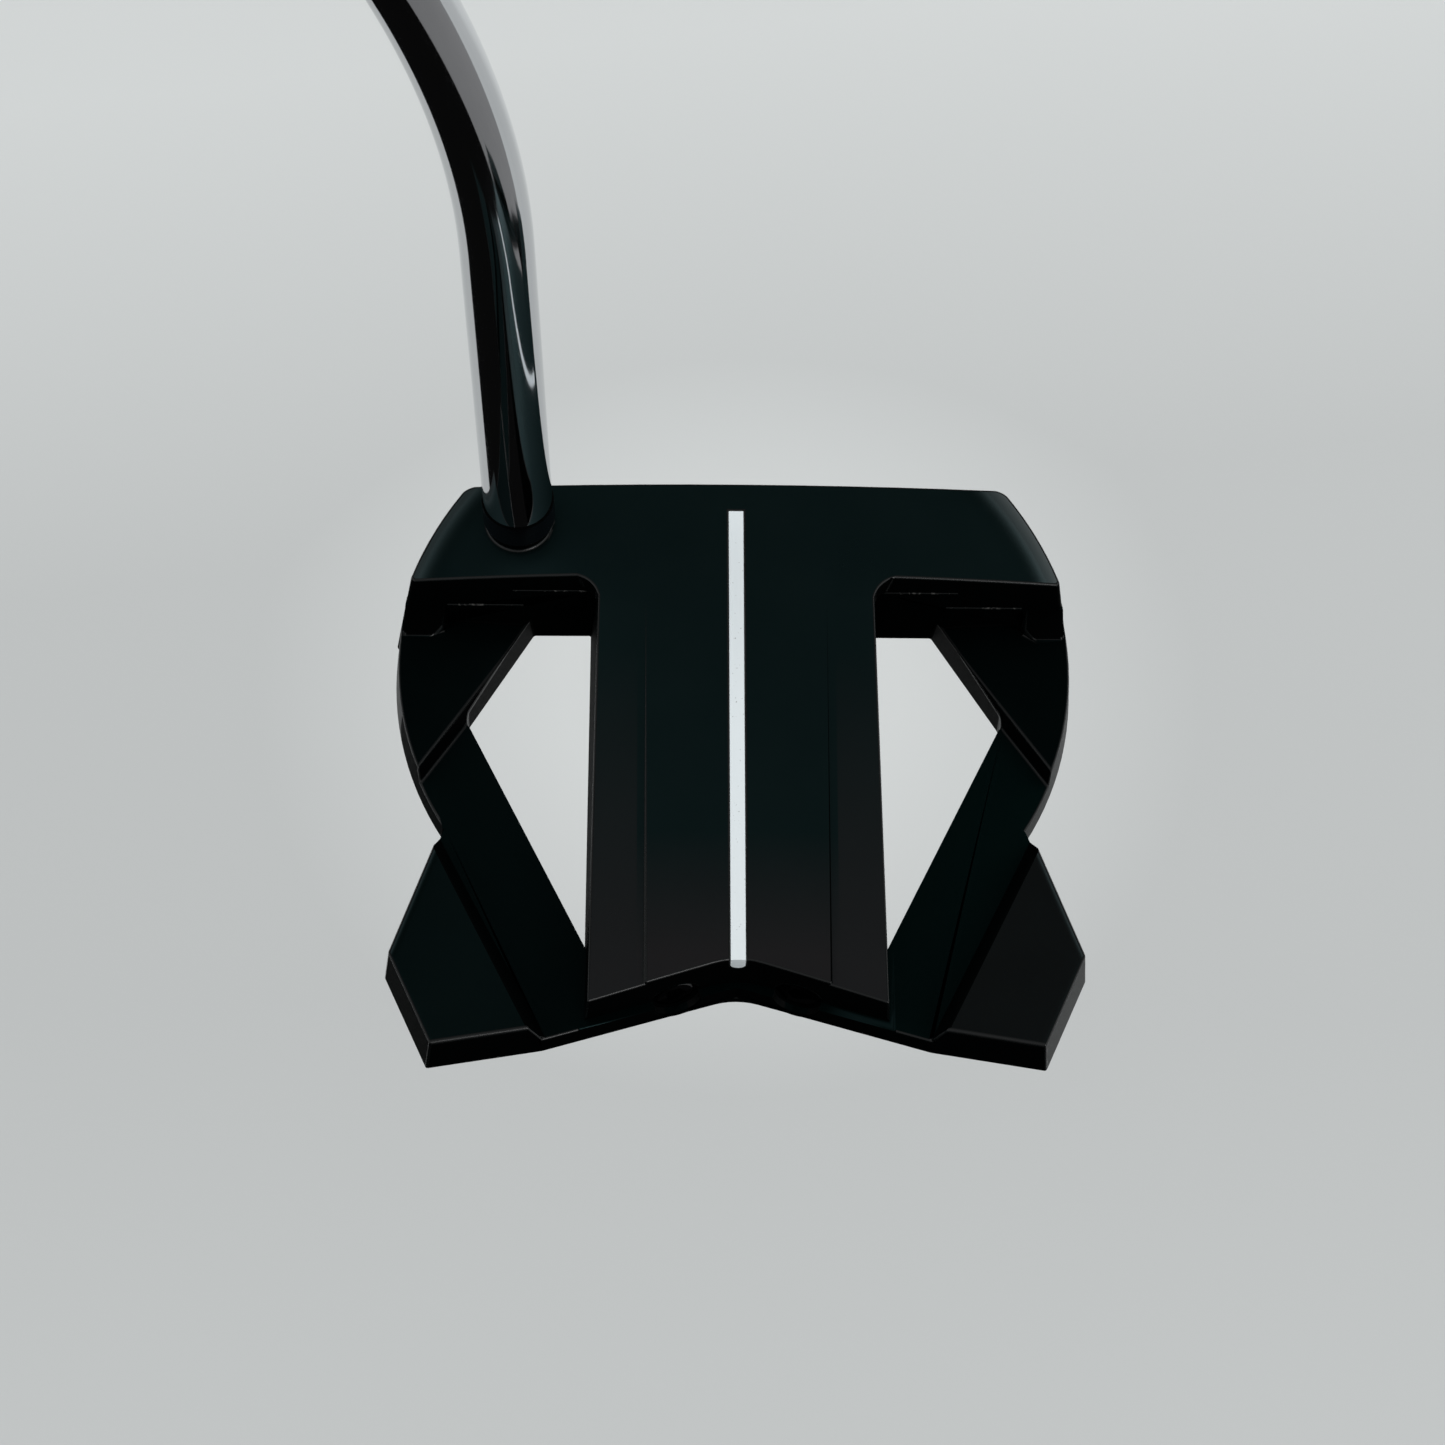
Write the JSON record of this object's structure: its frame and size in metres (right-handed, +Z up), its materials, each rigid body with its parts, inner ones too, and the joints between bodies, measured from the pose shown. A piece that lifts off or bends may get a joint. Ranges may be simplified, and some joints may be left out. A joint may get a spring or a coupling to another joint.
{
  "type": "mallet putter",
  "caption": "Right-handed golf mallet putter with a winged open-frame head, white sight line, heel shaft with one bend, and a flat-front pistol grip.",
  "frame": {"origin": "on the flat sole, on the line of aim, 30.15 mm behind the foot of the face", "axes": "+X towards the toe, +Y towards the target, +Z up from the sole"},
  "size_m": [0.3538, 0.0915, 0.825],
  "materials": {
    "head": "satin black anodised over milled aluminium",
    "insert": "fine milled, dark anodised",
    "adhesive": "cured epoxy",
    "sight_line": "white paint fill, slightly glossy",
    "weight": "black oxide, turned face",
    "post": "satin black over turned steel",
    "shaft": "polished chrome plate on a steel tube",
    "tape": "two-sided grip tape",
    "grip": "matt moulded rubber with fine dimples",
    "cap": "matt moulded rubber"
  },
  "bodies": {
    "club": {"head_body": "head", "face_insert": "insert", "insert_bond": "adhesive", "sight_line": "sight_line", "hosel_post": "post", "post_bond": "adhesive", "shaft_bond": "adhesive", "shaft": "shaft", "grip_tape": "tape", "grip": "grip", "grip_cap": "cap"},
    "heel_weight": {"weight_heel": "weight"},
    "toe_weight": {"weight_toe": "weight"}
  },
  "joints": [
    {"name": "heel_weight_out", "type": "slide", "parent": "club", "child": "heel_weight", "axis": [0.2874, -0.9578, 0], "range_m": [0, 0.009]},
    {"name": "toe_weight_out", "type": "slide", "parent": "club", "child": "toe_weight", "axis": [-0.2874, -0.9578, 0], "range_m": [0, 0.009]}
  ]
}
